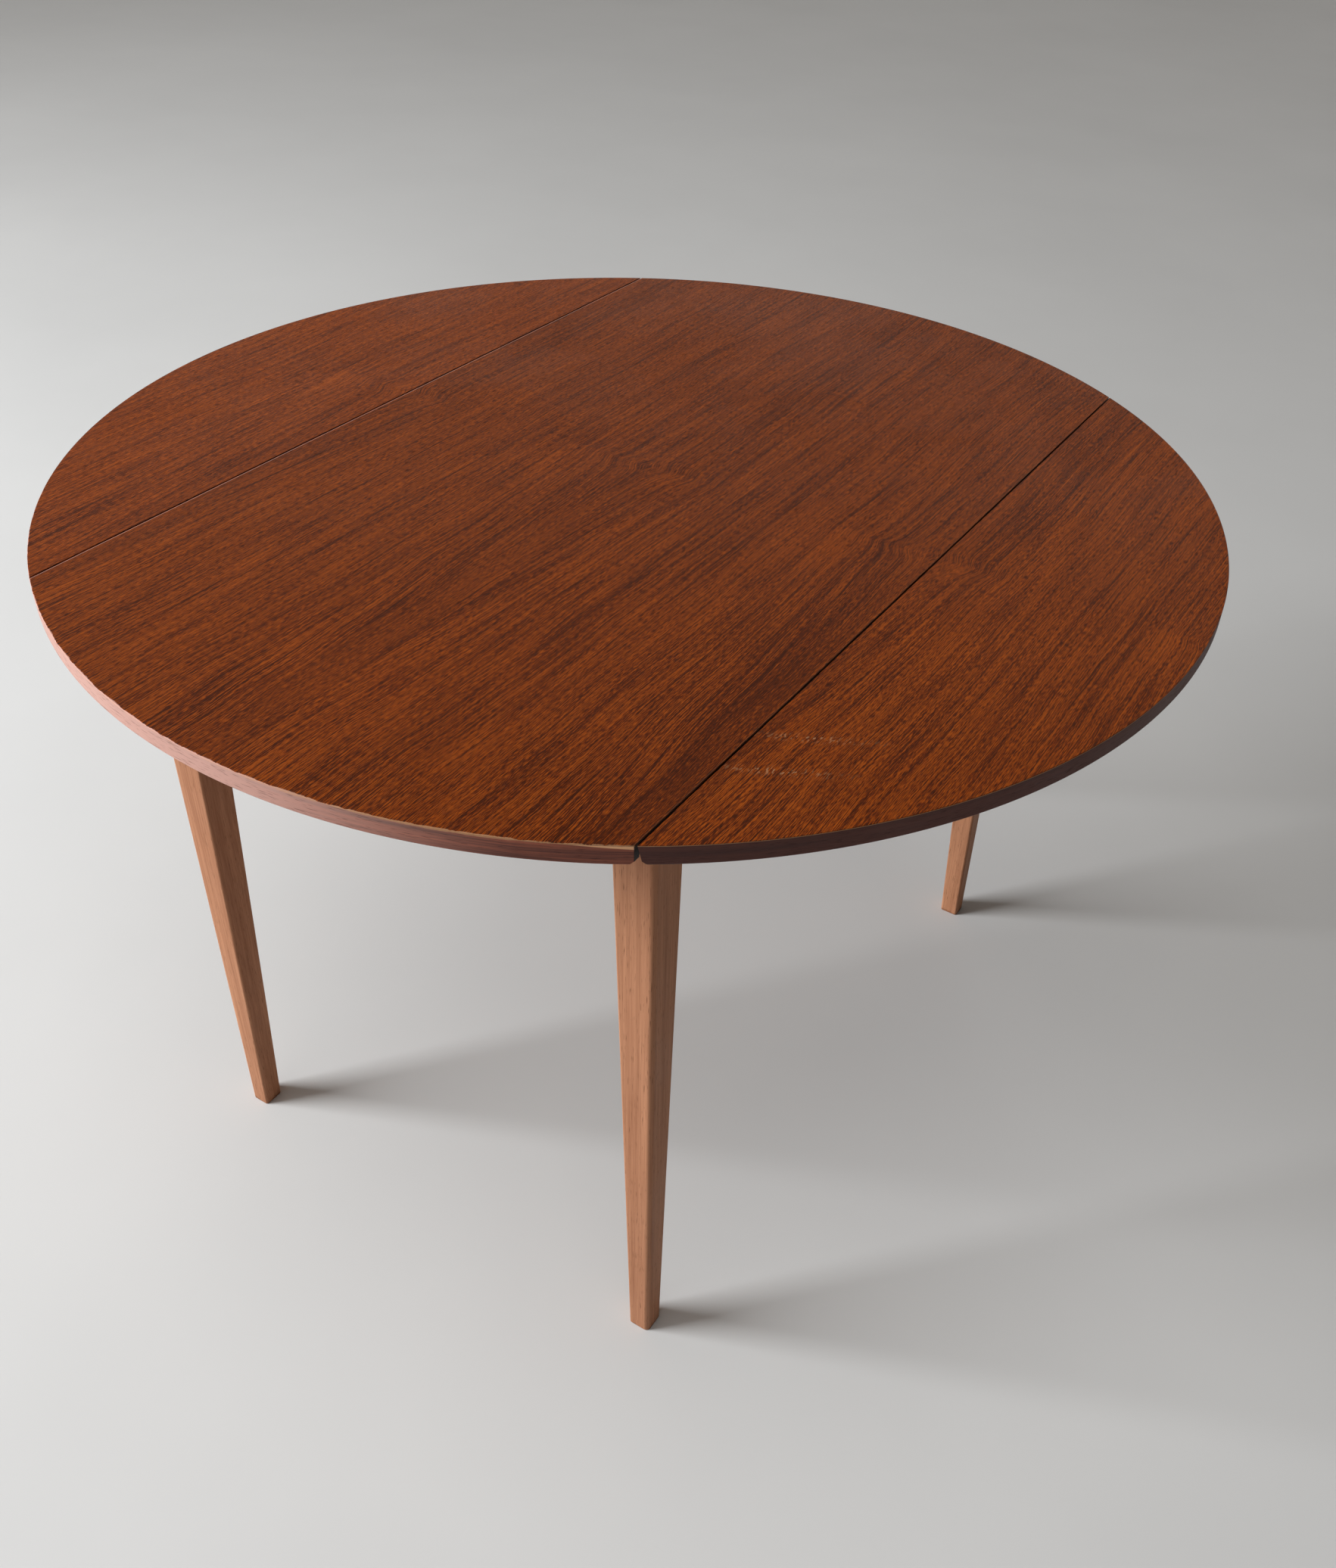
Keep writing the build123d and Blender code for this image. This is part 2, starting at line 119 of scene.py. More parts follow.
# The light from the window, and the light from the ceiling with its angle of spread
WINDOW_PLACE = Vector((-4.2, -3.4, 2.75))
WINDOW_TARGET = Vector((0.0, 0.0, 0.6))
WINDOW_SIZE = (2.5, 2.3)
WINDOW_COLOUR = (0.95, 0.975, 1.0)
CEILING_DIRECTION = Vector((-0.1, -0.9, 4.2))
CEILING_SPREAD = 0.8
CEILING_COLOUR = (1.0, 0.985, 0.96)

# The surround: the heights between which it turns from low light to overhead, its bright side, and its levels
# away from that side and on it
GLOW_HEIGHTS = (0.36, 0.56)
GLOW_SIDE = (-0.5, 0.87, 0.0)
GLOW_LEVELS = (0.20, 1.8)

# The floor, and the camera that was fitted to the photograph
FLOOR_RADIUS = 14.0
FLOOR_STEPS = 96
SENSOR_WIDTH = 36.0
CAMERA_PLACE = (0.7479, -1.1104, 1.3849)
CAMERA_RIGHT = (0.8452, 0.5335, 0.0318)
CAMERA_BACK = (0.3982, -0.6684, 0.6282)
CAMERA_SHIFT = (-0.0208, 0.0186)


def metres(name, description, default):
    """A setting that is a length."""
    return bpy.props.FloatProperty(name=name, description=description, default=default, unit="LENGTH")


def tint(name, description, default):
    """A setting that is a colour."""
    return bpy.props.FloatVectorProperty(
        name=name, description=description, default=default, subtype="COLOR"
    )


class TopLooks(bpy.types.PropertyGroup):
    """Sizes and colours of the veneered top and its rim."""

    edge_round: metres("Edge round", "Rounding of the veneer's upper edges", 0.0005)
    rim_round: metres("Rim round", "Rounding of the rim's lower edge", 0.0015)
    groove: metres("Groove", "Chamfer under each joint, where the hinges roll", 0.00589)
    notch: metres("Notch", "Chamfer under the ends of the rim strips", 0.0036)
    undercut: metres("Undercut", "How far a leaf's joint edge slopes back", 0.0022)
    flitch_width: metres("Flitch width", "Width of one leaf of veneer", 0.310)
    seam: metres("Seam", "Where one seam between leaves of veneer lies across the top", -0.152)
    crotch: metres("Crotch", "How far back the flame figure starts", 0.022)
    dark: tint("Veneer dark", "Dark streaks of the veneer", (0.052, 0.0098, 0.0018))
    middle: tint("Veneer middle", "Main colour of the veneer", (0.168, 0.0265, 0.0022))
    light: tint("Veneer light", "Pale patches of the veneer", (0.325, 0.0670, 0.0048))
    worn: tint("Worn edge", "Bare wood at worn edges", (0.46, 0.24, 0.12))
    chipped: tint("Chipped corner", "Bare wood where the rim is chipped", (0.92, 0.50, 0.26))
    lipping: tint("Lipping", "Main colour of the rim", (0.300, 0.082, 0.043))
    # Painted light: the rim's colour where the window lights it and its sheen shows
    lipping_lit: tint("Lipping pale", "Rim bleached by the window", (0.52, 0.29, 0.235))
    # The dark streaks' colour is also painted as shade over the right leaf's strip
    lipping_dark: tint("Lipping dark", "Dark streaks of the rim", (0.062, 0.0175, 0.013))
    backing: tint("Backing", "Underside of the boards", (0.29, 0.165, 0.090))


class FrameLooks(bpy.types.PropertyGroup):
    """Sizes and colours of the legs, rails and blocks."""

    leg_foot: metres("Foot", "Width of a leg at the floor", 0.0232)
    leg_head: metres("Head", "Width of a leg at the rails", 0.042)
    taper_drop: metres("Taper drop", "How far below the rails the taper starts", 0.002)
    outer_round: metres("Outer round", "Rounding of a leg's outer corner", 0.0055)
    inner_round: metres("Inner round", "Rounding of a leg's other corners", 0.003)
    foot_ease: metres("Foot ease", "Easing round the sole of a leg", 0.001)
    wood: tint("Leg wood", "Main colour of the legs and rails", (0.45, 0.208, 0.112))
    wood_dark: tint("Leg wood dark", "Dark streaks of the legs", (0.30, 0.122, 0.061))
    block: tint("Blocks", "Corner blocks of plain wood", (0.50, 0.34, 0.19))


class FittingLooks(bpy.types.PropertyGroup):
    """Colours of the hinges, stays and screws."""

    brass: tint("Brass", "Hinges", (0.62, 0.45, 0.20))
    zinc: tint("Zinc", "Stays", (0.60, 0.60, 0.58))
    steel: tint("Steel", "Screws", (0.50, 0.49, 0.46))
    tarnish: tint("Tarnish", "Dull patches on the metal", (0.20, 0.15, 0.10))


class StageLooks(bpy.types.PropertyGroup):
    """Floor, light and camera."""

    floor: tint("Floor", "Plain pale floor", (0.64, 0.635, 0.625))
    surround: tint("Surround", "Soft light from low all round", (0.29, 0.266, 0.242))
    overhead: tint("Overhead", "Soft light from above", (0.038, 0.035, 0.031))
    background: tint("Background", "What shows beyond the floor", (0.60, 0.585, 0.57))
    key_power: bpy.props.FloatProperty(
        name="Key light", description="Power of the large soft light on the left", default=525.0, unit="POWER"
    )
    fill_power: bpy.props.FloatProperty(
        name="Fill light", description="Strength of the even soft light overhead", default=0.85
    )
    lens: bpy.props.FloatProperty(
        name="Lens", description="Focal length on a 36 mm sensor", default=33.75, unit="CAMERA"
    )


class Bench:
    """Adds nodes to one tree, with numbers, colours or sockets as their inputs."""

    def __init__(self, tree):
        self.tree = tree

    def feed(self, socket, value):
        """Set an input, or link it."""
        if isinstance(value, bpy.types.NodeSocket):
            self.tree.links.new(value, socket)
        else:
            socket.default_value = value

    def add(self, kind, inputs=(), **settings):
        """A node of a kind, with its settings and its inputs by name or number."""
        node = self.tree.nodes.new(kind)
        for name, value in settings.items():
            setattr(node, name, value)
        for name, value in dict(inputs).items():
            self.feed(node.inputs[name], value)
        return node

    def calc(self, operation, *values):
        """One step of arithmetic."""
        return self.add("ShaderNodeMath", enumerate(values), operation=operation).outputs[0]

    def total(self, *values):
        """Sum of several values."""
        return reduce(partial(self.calc, "ADD"), values)

    def product(self, *values):
        """Product of several values."""
        return reduce(partial(self.calc, "MULTIPLY"), values)

    def minus(self, value, other):
        """One value less another."""
        return self.calc("SUBTRACT", value, other)

    def weigh(self, start, *pairs):
        """A start, plus several values that each have a weight."""
        return self.total(start, *(self.product(value, weight) for value, weight in pairs))

    def away(self, value, middle):
        """How far a value is from a middle."""
        return self.calc("ABSOLUTE", self.minus(value, middle))

    def side(self, value, width):
        """From -1 to 1 as a value passes zero."""
        return self.calc("TANH", self.calc("DIVIDE", value, width))

    def remap(self, value, low, high, to_low=0.0, to_high=1.0, kind="SMOOTHSTEP"):
        """A value taken from one range to another, and held there."""
        inputs = {"Value": value, "From Min": low, "From Max": high, "To Min": to_low, "To Max": to_high}
        return self.add("ShaderNodeMapRange", inputs, interpolation_type=kind).outputs["Result"]

    def hump(self, value, centre, width):
        """Bell curve round a centre."""
        offset = self.calc("DIVIDE", self.minus(value, centre), width)
        return self.calc("EXPONENT", self.product(offset, offset, -1.0))

    def humps(self, value, curves):
        """Sum of bell curves, each with its centre, width and height."""
        pairs = ((self.hump(value, centre, width), height) for centre, width, height in curves)
        return self.weigh(0.0, *pairs)

    def vector(self, x, y, z):
        """A vector from its three axes."""
        return self.add("ShaderNodeCombineXYZ", {"X": x, "Y": y, "Z": z}).outputs[0]

    def split(self, vector):
        """The three axes of a vector."""
        return self.add("ShaderNodeSeparateXYZ", {0: vector}).outputs

    def stretch(self, vector, factors):
        """A vector scaled along each axis, or along all of them by one socket."""
        return self.add("ShaderNodeVectorMath", {0: vector, 1: factors}, operation="MULTIPLY").outputs[0]

    def place(self):
        """The piece's own coordinates."""
        return self.add("ShaderNodeTexCoord").outputs["Object"]

    def radius(self, x, y):
        """Distance from the table's upright axis."""
        return self.calc("SQRT", self.total(self.product(x, x), self.product(y, y)))

    def noise(self, vector, detail=2.0, roughness=0.5, distortion=0.0):
        """Soft noise about one unit wide."""
        inputs = {"Vector": vector, "Scale": 1.0, "Detail": detail}
        inputs |= {"Roughness": roughness, "Distortion": distortion}
        return self.add("ShaderNodeTexNoise", inputs).outputs["Fac"]

    def grain(self, vector, across, along, detail=1.0, roughness=0.5):
        """Noise drawn out along the vector's Y, with so many grains to a metre across it and along it."""
        factors = self.vector(across, along, across)
        return self.noise(self.stretch(vector, factors), detail, roughness)

    def lines(self, noise, half_width, reach):
        """Thin lines where noise passes its middle."""
        return self.remap(self.away(noise, 0.5), half_width, reach, 1.0, 0.0)

    def mix(self, factor, first, second, blend="MIX"):
        """Two colours mixed."""
        inputs = {0: factor, 6: first, 7: second}
        return self.add("ShaderNodeMix", inputs, data_type="RGBA", blend_type=blend).outputs[2]

    def cover(self, colour, mask, paint, strength=1.0, blend="MIX"):
        """A colour painted over where a mask is."""
        return self.mix(self.product(mask, strength), colour, opaque(paint), blend)

    def ramp(self, value, stops):
        """Colours along a value."""
        node = self.add("ShaderNodeValToRGB", {"Fac": value})
        band = node.color_ramp.elements
        while len(band) < len(stops):
            band.new(1.0)
        for element, (place, colour) in zip(band, stops):
            element.position = place
            element.color = opaque(colour)
        return node.outputs["Color"]

    def use(self, name, **inputs):
        """A node group, made on its first use, with its inputs by name."""
        group = bpy.data.node_groups.get(name) or GROUPS[name](name)
        node = self.add("ShaderNodeGroup", node_tree=group)
        for label, value in inputs.items():
            self.feed(node.inputs[label.replace("_", " ")], value)
        return node.outputs


def opaque(colour):
    """A colour with full alpha."""
    return (*colour[:3], 1.0)


def shade(colour, factor):
    """A colour made darker or lighter."""
    return tuple(part * factor for part in colour[:3])


def new_group(name, settings, outputs):
    """An empty shader node group on a vector, its bench, and its input and output sockets."""
    group = bpy.data.node_groups.new(name, "ShaderNodeTree")
    group.interface.new_socket(name="Vector", in_out="INPUT", socket_type="NodeSocketVector")
    for label, default in settings.items():
        socket = group.interface.new_socket(name=label, in_out="INPUT", socket_type="NodeSocketFloat")
        socket.default_value = default
    for label in outputs:
        group.interface.new_socket(name=label, in_out="OUTPUT", socket_type="NodeSocketFloat")
    bench = Bench(group)
    entry = bench.add("NodeGroupInput")
    exit_node = bench.add("NodeGroupOutput")
    return group, bench, entry.outputs, exit_node.inputs


def streaks_group(name):
    """Long streaks of wood grain along the vector's Y, in three widths."""
    group, bench, entry, out = new_group(name, {"Bands": 1.0}, ["Broad", "Middle", "Fine"])
    place = bench.stretch(entry["Vector"], entry["Bands"])
    bench.feed(out["Broad"], bench.grain(place, across=21.0, along=0.85, detail=2.0, roughness=0.5))
    bench.feed(out["Middle"], bench.grain(place, across=105.0, along=1.7, detail=3.0, roughness=0.6))
    bench.feed(out["Fine"], bench.grain(place, across=560.0, along=8.0, detail=3.0, roughness=0.65))
    return group


def pores_group(name):
    """Short dark pores of open grained wood, so many to a metre across and along the vector's Y."""
    settings = {"Across": 1500.0, "Along": 85.0, "Cover": 0.4}
    group, bench, entry, out = new_group(name, settings, ["Mask", "Height"])
    flecks = bench.grain(entry["Vector"], entry["Across"], entry["Along"])
    start = bench.minus(0.80, bench.product(entry["Cover"], 0.5))
    mask = bench.remap(flecks, start, bench.total(start, 0.12))
    slope = bench.remap(flecks, bench.minus(start, 0.16), start)
    bench.feed(out["Mask"], mask)
    bench.feed(out["Height"], bench.minus(bench.product(slope, 0.25), mask))
    return group


def handling_group(name):
    """Soft clouds where hands and cloths have left the finish duller."""
    group, bench, entry, out = new_group(name, {"Per metre": 7.0}, ["Dull"])
    place = bench.stretch(entry["Vector"], entry["Per metre"])
    clouds = bench.noise(place, detail=4.0, roughness=0.6, distortion=0.4)
    bench.feed(out["Dull"], bench.remap(clouds, 0.3, 0.7))
    return group


def wear_group(name):
    """Worn finish near an edge, broken up along it."""
    group, bench, entry, out = new_group(name, {"Distance": 0.0, "Reach": 0.001}, ["Mask"])
    breaks = bench.noise(bench.stretch(entry["Vector"], (55.0, 55.0, 55.0)), detail=4.0, roughness=0.7)
    reach = bench.product(entry["Reach"], bench.remap(breaks, 0.36, 0.68))
    near = bench.calc("DIVIDE", entry["Distance"], bench.calc("MAXIMUM", reach, 0.00005))
    bench.feed(out["Mask"], bench.remap(near, 0.55, 1.0, 1.0, 0.0))
    return group


def tarnish_group(name):
    """Dull patches and fine scratches on metal fittings."""
    group, bench, entry, out = new_group(name, {"Cover": 0.4}, ["Mask", "Scratches"])
    place = bench.stretch(entry["Vector"], (90.0, 90.0, 90.0))
    clouds = bench.noise(place, detail=5.0, roughness=0.65, distortion=0.6)
    start = bench.minus(0.75, bench.product(entry["Cover"], 0.5))
    scratches = bench.grain(entry["Vector"], across=2600.0, along=120.0, detail=2.0, roughness=0.6)
    bench.feed(out["Mask"], bench.remap(clouds, start, bench.total(start, 0.25)))
    bench.feed(out["Scratches"], scratches)
    return group


GROUPS = {
    "Grain streaks": streaks_group,
    "Wood pores": pores_group,
    "Handling": handling_group,
    "Edge wear": wear_group,
    "Tarnish": tarnish_group,
}


def new_material(name):
    """A material with one Principled shader, the bench of its tree, and the inputs of the shader."""
    material = bpy.data.materials.new(name)
    material.use_nodes = True
    tree = material.node_tree
    tree.nodes.clear()
    bench = Bench(tree)
    shader = bench.add("ShaderNodeBsdfPrincipled")
    out = bench.add("ShaderNodeOutputMaterial")
    tree.links.new(shader.outputs["BSDF"], out.inputs["Surface"])
    return material, bench, shader.inputs


def dress(bench, shader, colour, rough, height, strength, distance=0.0003):
    """Give a shader its colour, its roughness and the relief of a height."""
    bump = bench.add("ShaderNodeBump", {"Height": height, "Strength": strength, "Distance": distance})
    bench.feed(shader["Base Color"], colour)
    bench.feed(shader["Roughness"], rough)
    bench.feed(shader["Normal"], bump.outputs["Normal"])


def on_leaf(bench, x, side):
    """A mask of one leaf, which starts inside the joint."""
    return bench.remap(x, (LEAF_EDGE - LEAF_FADE) * side, LEAF_EDGE * side)


def flame_lines(bench, looks, x, y):
    """The number of each leaf of veneer, the place across it, and the place across the lines of its flame."""
    turn = bench.calc("DIVIDE", bench.minus(x, looks.seam), looks.flitch_width)
    leaf = bench.calc("FLOOR", turn)
    across = bench.product(bench.minus(bench.calc("FRACT", turn), 0.5), looks.flitch_width)

    # Lines drawn together towards the front, with a kink where the flame starts
    wander = bench.noise(bench.vector(bench.product(y, 5.0), bench.product(leaf, 3.7), 0.0))
    offset = bench.total(across, -FLAME_MIDDLE, bench.product(bench.minus(wander, 0.5), FLAME_WANDER))
    inside = bench.hump(offset, 0.0, FLAME_HALF_WIDTH)
    drop = bench.remap(y, looks.crotch, FLAME_END, 0.0, 1.0, "LINEAR")
    draw = bench.product(bench.side(offset, 0.012), bench.calc("POWER", drop, 0.75), FLAME_DRAW)
    kink = bench.product(bench.hump(y, looks.crotch, 0.012), bench.side(offset, 0.010), FLAME_KINK)
    ring = bench.calc("MULTIPLY_ADD", bench.total(draw, kink), inside, offset)
    return leaf, across, ring


def veneer_bands(bench, looks, x, y, across, ring, streaks):
    """Light and dark bands of each leaf of veneer, behind and before the start of the flame."""
    before = bench.remap(y, looks.crotch - 0.005, looks.crotch + 0.007, 1.0, 0.0)
    behind = bench.minus(1.0, before)
    edge = bench.calc("ABSOLUTE", ring)
    depth = bench.remap(x, -0.1, 0.3, 0.7, 1.0)
    strength = bench.total(bench.product(before, 0.28), bench.product(behind, 0.19))
    arms = bench.product(bench.humps(edge, FLAME_ARMS), strength, depth)
    heart = bench.product(
        bench.remap(edge, 0.026, 0.050, 1.0, 0.0), before, bench.remap(y, 0.0, -0.25, 0.0, 0.075), depth
    )
    patch = bench.product(bench.hump(across, -0.086, 0.020), bench.remap(y, -0.12, 0.0))
    curl = bench.product(bench.hump(across, 0.026, 0.013), bench.remap(y, -0.03, 0.015))
    start = bench.product(bench.hump(y, looks.crotch + 0.008, 0.010), streaks["Middle"], -0.08)

    # The centre panel is darker beside the right joint, towards the front
    centre = bench.minus(1.0, on_leaf(bench, x, 1))
    shaded = bench.product(bench.hump(x, 0.300, 0.040), centre, bench.remap(y, 0.05, -0.3, 0.0, 0.23))
    return bench.total(
        bench.product(bench.humps(ring, BACK_BANDS), behind),
        bench.product(bench.total(patch, curl), before, 0.24),
        start,
        bench.product(bench.total(arms, heart, shaded), -1.0),
    )


def veneer_finish(looks):
    """Oiled veneer: slip matched leaves, each with a flame that narrows towards the front."""
    material, bench, shader = new_material("oiled_veneer")
    place = bench.place()
    x, y, _ = bench.split(place)
    leaf, across, ring = flame_lines(bench, looks, x, y)
    shift = bench.product(leaf, 0.0025)
    figure = bench.vector(ring, y, shift)

    # Streaks, short threads that start anywhere along the grain, flecks, and long dark lines
    streaks = bench.use("Grain streaks", Vector=figure)
    slip = bench.noise(bench.vector(bench.product(ring, 420.0), bench.product(leaf, 1.7), 0.0), detail=1.0)
    stagger = bench.vector(ring, bench.weigh(y, (slip, 0.6)), shift)
    threads = bench.grain(stagger, across=2000.0, along=11.0)
    flecks = bench.grain(place, across=1900.0, along=150.0)
    veins = bench.grain(figure, across=62.0, along=0.5, detail=2.0, roughness=0.55)
    hairs = bench.grain(figure, across=300.0, along=4.0)
    tone = bench.weigh(
        bench.total(-3.29, veneer_bands(bench, looks, x, y, across, ring, streaks)),
        (streaks["Broad"], 0.26),
        (streaks["Middle"], 0.20),
        (streaks["Fine"], 0.10),
        (threads, 3.90),
        (flecks, 3.20),
        (bench.lines(veins, 0.006, 0.020), -0.34),
        (bench.lines(hairs, 0.01, 0.05), -0.15),
    )
    colour = bench.ramp(tone, [(0.05, looks.dark), (0.50, looks.middle), (0.95, looks.light)])

    # Pores, the right leaf's own tone, and painted sheen on the left leaf
    pores = bench.use("Wood pores", Vector=place, Across=1700.0, Along=85.0, Cover=0.46)
    colour = bench.cover(colour, pores["Mask"], shade(looks.dark, 0.5), 0.5)
    right = on_leaf(bench, x, 1)
    colour = bench.cover(colour, right, RIGHT_TINT, 0.35, "MULTIPLY")
    colour = bench.cover(colour, on_leaf(bench, x, -1), LEFT_PAINTED_SHEEN, 1.0, "MULTIPLY")

    # Worn edges at the rim, most of all in front, and at the centre panel's joints, with painted highlight on
    # the left
    rim = bench.minus(TOP_RADIUS, bench.radius(x, y))
    front = bench.product(bench.remap(y, -0.3, -0.5, 0.0006, 0.0016), bench.minus(1.0, right))
    rim_wear = bench.use("Edge wear", Vector=place, Distance=rim, Reach=front)["Mask"]
    joint = bench.minus(PANEL_EDGE, bench.calc("ABSOLUTE", x))
    # The arrises are worn, and the left one is painted much paler as a highlight of the window
    arris_wear_and_highlight = bench.product(
        bench.calc("GREATER_THAN", joint, -0.0004),
        bench.remap(joint, 0.0005, 0.0013, 1.0, 0.0),
        bench.remap(x, -0.1, 0.1, 0.75, 0.12),
    )
    worn = bench.calc("MAXIMUM", bench.product(rim_wear, 0.8), arris_wear_and_highlight)
    # Worn wood, turning towards the left into the painted highlight of the window
    bare_and_highlight = bench.cover(opaque(looks.worn), bench.remap(x, 0.18, -0.05), shade(looks.lipping_lit, 1.35))
    colour = bench.mix(worn, colour, bare_and_highlight)

    # Two rows of pale nicks across the right leaf
    rows = []
    for row_x, row_y in NICK_ROWS:
        slant = bench.weigh(bench.minus(y, row_y), (bench.minus(x, row_x), -NICK_SLOPE))
        rows.append(bench.hump(slant, 0.0, NICK_HALF_WIDTH))
    nicks = bench.remap(bench.noise(bench.stretch(place, (640.0, 210.0, 1.0)), detail=1.0), 0.55, 0.66)
    nicks = bench.product(nicks, bench.total(*rows), bench.hump(x, NICK_ROWS[0][0], NICK_HALF_LENGTH), right)
    colour = bench.cover(colour, nicks, looks.worn, 0.75)

    dull = bench.use("Handling", Vector=place, Per_metre=6.0)["Dull"]
    rough = bench.weigh(0.36, (dull, 0.10), (pores["Mask"], 0.22), (worn, 0.2))
    shader["Specular IOR Level"].default_value = 0.15
    dress(bench, shader, colour, rough, bench.weigh(pores["Height"], (streaks["Fine"], 0.5)), strength=0.35)
    return material


def lipping_finish(looks):
    """Solid rim strip with its grain along the rim."""
    material, bench, shader = new_material("rim_strip")
    place = bench.place()
    x, y, z = bench.split(place)
    along = bench.product(bench.calc("ARCTAN2", y, x), TOP_RADIUS)
    rolled = bench.vector(z, along, bench.radius(x, y))
    streaks = bench.use("Grain streaks", Vector=rolled, Bands=2.2)
    tone = bench.weigh(-0.5, (streaks["Broad"], 0.6), (streaks["Middle"], 0.9), (streaks["Fine"], 0.5))
    stops = [(0.2, looks.lipping_dark), (0.55, looks.lipping), (0.9, shade(looks.lipping, 1.45))]
    colour = bench.ramp(tone, stops)

    # Painted window light and sheen in front and to the left, and painted shade on the right leaf
    lit = bench.product(
        bench.remap(x, 0.26, 0.0), bench.remap(x, -0.42, -0.12, 0.72, 0.88), bench.remap(y, 0.0, -0.25)
    )
    colour = bench.cover(colour, lit, looks.lipping_lit)
    right = bench.product(on_leaf(bench, x, 1), 0.85)
    colour = bench.cover(colour, right, looks.lipping_dark)
    pores = bench.use("Wood pores", Vector=rolled, Across=1700.0, Along=90.0, Cover=0.42)
    colour = bench.cover(colour, pores["Mask"], shade(looks.lipping_dark, 0.6), 0.5)

    # Worn along its upper edge, chipped in front beside the right joint, and painted shade on its end there
    depth = bench.minus(BOARD_TOP, z)
    reach = bench.calc("MULTIPLY_ADD", right, -0.0010, 0.0009)
    worn = bench.use("Edge wear", Vector=place, Distance=depth, Reach=reach)["Mask"]
    colour = bench.cover(colour, worn, looks.worn, 0.75)
    chip = bench.remap(x, CHIP_START, PANEL_EDGE, *CHIP_DEPTHS, "LINEAR")
    chip = bench.remap(bench.minus(chip, depth), 0.0, 0.0008)
    corner = bench.product(bench.calc("LESS_THAN", x, PANEL_EDGE + 0.0001), bench.calc("LESS_THAN", y, 0.0))
    colour = bench.cover(colour, bench.product(chip, corner), looks.chipped, 0.85)
    # Painted shade on the centre strip's end, in the joint
    end = bench.remap(bench.away(x, PANEL_EDGE), 0.0002, 0.0005, 0.95, 0.0)
    colour = bench.cover(colour, end, shade(looks.lipping_dark, 0.05))

    dull = bench.use("Handling", Vector=place, Per_metre=9.0)["Dull"]
    rough = bench.weigh(0.42, (dull, 0.12), (pores["Mask"], 0.2))
    shader["Specular IOR Level"].default_value = 0.25
    dress(bench, shader, colour, rough, bench.total(pores["Height"], streaks["Fine"]), strength=0.3)
    return material


def timber_finish(name, axes, main, dark, bands, matt, dark_feet=False, shaded_joints=False):
    """Plain straight grained wood. axes gives the piece's axes across, along and through the grain."""
    material, bench, shader = new_material(name)
    place = bench.place()
    own = bench.split(place)
    turned = bench.vector(*(own[axis] for axis in axes))
    streaks = bench.use("Grain streaks", Vector=turned, Bands=bands)
    tone = bench.weigh(-0.70, (streaks["Broad"], 0.75), (streaks["Middle"], 0.75), (streaks["Fine"], 0.9))
    colour = bench.ramp(tone, [(0.12, dark), (0.55, main), (0.95, shade(main, 1.3))])
    pores = bench.use("Wood pores", Vector=turned, Across=1300.0, Along=70.0, Cover=0.34)
    colour = bench.cover(colour, pores["Mask"], shade(dark, 0.5), 0.65)
    if dark_feet:
        # Darker towards the sole
        worn = bench.use("Edge wear", Vector=place, Distance=own["Z"], Reach=0.006)["Mask"]
        colour = bench.cover(colour, worn, shade(dark, 0.6), 0.6)
    if shaded_joints:
        # Painted shade in the joints, deepest near the top
        joint = bench.away(bench.calc("ABSOLUTE", own["X"]), (PANEL_EDGE + LEAF_EDGE) / 2)
        depth = bench.minus(TABLE_TOP, own["Z"])
        joint_shade = bench.product(
            bench.remap(joint, 0.004, 0.007, 1.0, 0.0), bench.remap(depth, 0.0025, 0.007, 0.92, 0.35)
        )
        colour = bench.cover(colour, joint_shade, shade(dark, 0.05))
    dull = bench.use("Handling", Vector=place, Per_metre=8.0)["Dull"]
    rough = bench.weigh(matt, (dull, 0.12), (pores["Mask"], 0.15))
    shader["Specular IOR Level"].default_value = 0.08
    dress(bench, shader, colour, rough, bench.weigh(pores["Height"], (streaks["Fine"], 0.6)), strength=0.25)
    return material


def metal_finish(name, main, tarnish, roughness, cover):
    """Metal fitting with dull patches and fine scratches."""
    material, bench, shader = new_material(name)
    marks = bench.use("Tarnish", Vector=bench.place(), Cover=cover)
    colour = bench.cover(opaque(main), marks["Mask"], tarnish, 0.65)
    rough = bench.weigh(roughness, (marks["Mask"], 0.25), (marks["Scratches"], 0.10))
    shader["Metallic"].default_value = 1.0
    dress(bench, shader, colour, rough, marks["Scratches"], strength=0.12, distance=0.0002)
    return material


def trim(bm, point, outward):
    """Cut away all that lies outside a plane, and close the cut."""
    everything = bm.verts[:] + bm.edges[:] + bm.faces[:]
    cut = bmesh.ops.bisect_plane(
        bm, geom=everything, dist=CUT, plane_co=point, plane_no=outward, clear_outer=True
    )
    edges = [part for part in cut["geom_cut"] if isinstance(part, bmesh.types.BMEdge)]
    bmesh.ops.edgeloop_fill(bm, edges=edges)


def clean(bm):
    """Merge points that coincide, and turn the normals outward."""
    bmesh.ops.remove_doubles(bm, verts=bm.verts[:], dist=MERGED)
    bmesh.ops.recalc_face_normals(bm, faces=bm.faces[:])


def extrude(bm, faces, rise):
    """Extrude faces up, or down where the rise is negative."""
    grown = bmesh.ops.extrude_face_region(bm, geom=faces)["geom"]
    verts = [part for part in grown if isinstance(part, bmesh.types.BMVert)]
    bmesh.ops.translate(bm, vec=(0, 0, rise), verts=verts)


def round_over(bm, edges, radius, segments):
    """Round some edges."""
    bmesh.ops.bevel(
        bm, geom=edges, offset=radius, segments=segments, profile=0.5, affect="EDGES", material=-1
    )


